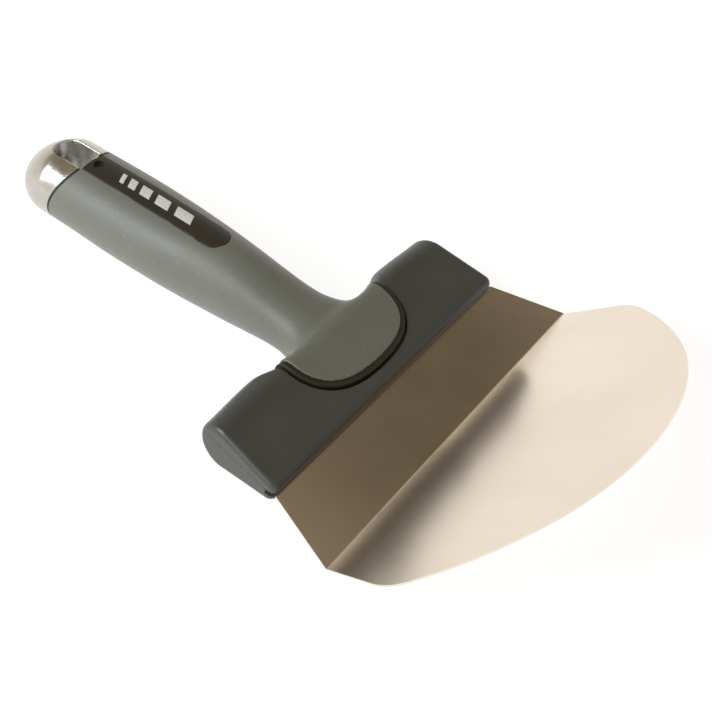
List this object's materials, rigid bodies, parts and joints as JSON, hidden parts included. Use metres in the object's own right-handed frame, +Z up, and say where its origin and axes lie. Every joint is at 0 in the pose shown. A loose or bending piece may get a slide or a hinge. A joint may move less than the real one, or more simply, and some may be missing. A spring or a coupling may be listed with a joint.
{
  "type": "inside corner trowel",
  "caption": "Hand trowel with a folded steel blade whose front leaf is a rounded D, a moulded bolster, a soft-grip handle and a cast hanging cap.",
  "frame": {"origin": "centre of the tool's plan, on the bench that it lies on", "axes": "+Y from the cap towards the blade's rounded tip, +X across the blade, +Z up from the bench"},
  "size_m": [0.1586, 0.271, 0.0429],
  "materials": {
    "stainless": "brushed, bright",
    "tang_steel": "plain mill finish",
    "rivet_steel": "plain",
    "bolster_plastic": "satin charcoal",
    "core_plastic": "satin black",
    "grip_rubber": "matte grey green",
    "cast_cap": "cast, polished outside",
    "pin_steel": "black"
  },
  "bodies": {
    "root": {"blade": "stainless", "tang": "tang_steel", "blade_rivet_1": "rivet_steel", "blade_rivet_2": "rivet_steel", "blade_rivet_3": "rivet_steel", "blade_rivet_4": "rivet_steel", "holder_top": "bolster_plastic", "holder_bottom": "bolster_plastic", "handle_core": "core_plastic", "grip": "grip_rubber", "end_cap": "cast_cap", "cap_pin": "pin_steel"}
  },
  "joints": []
}
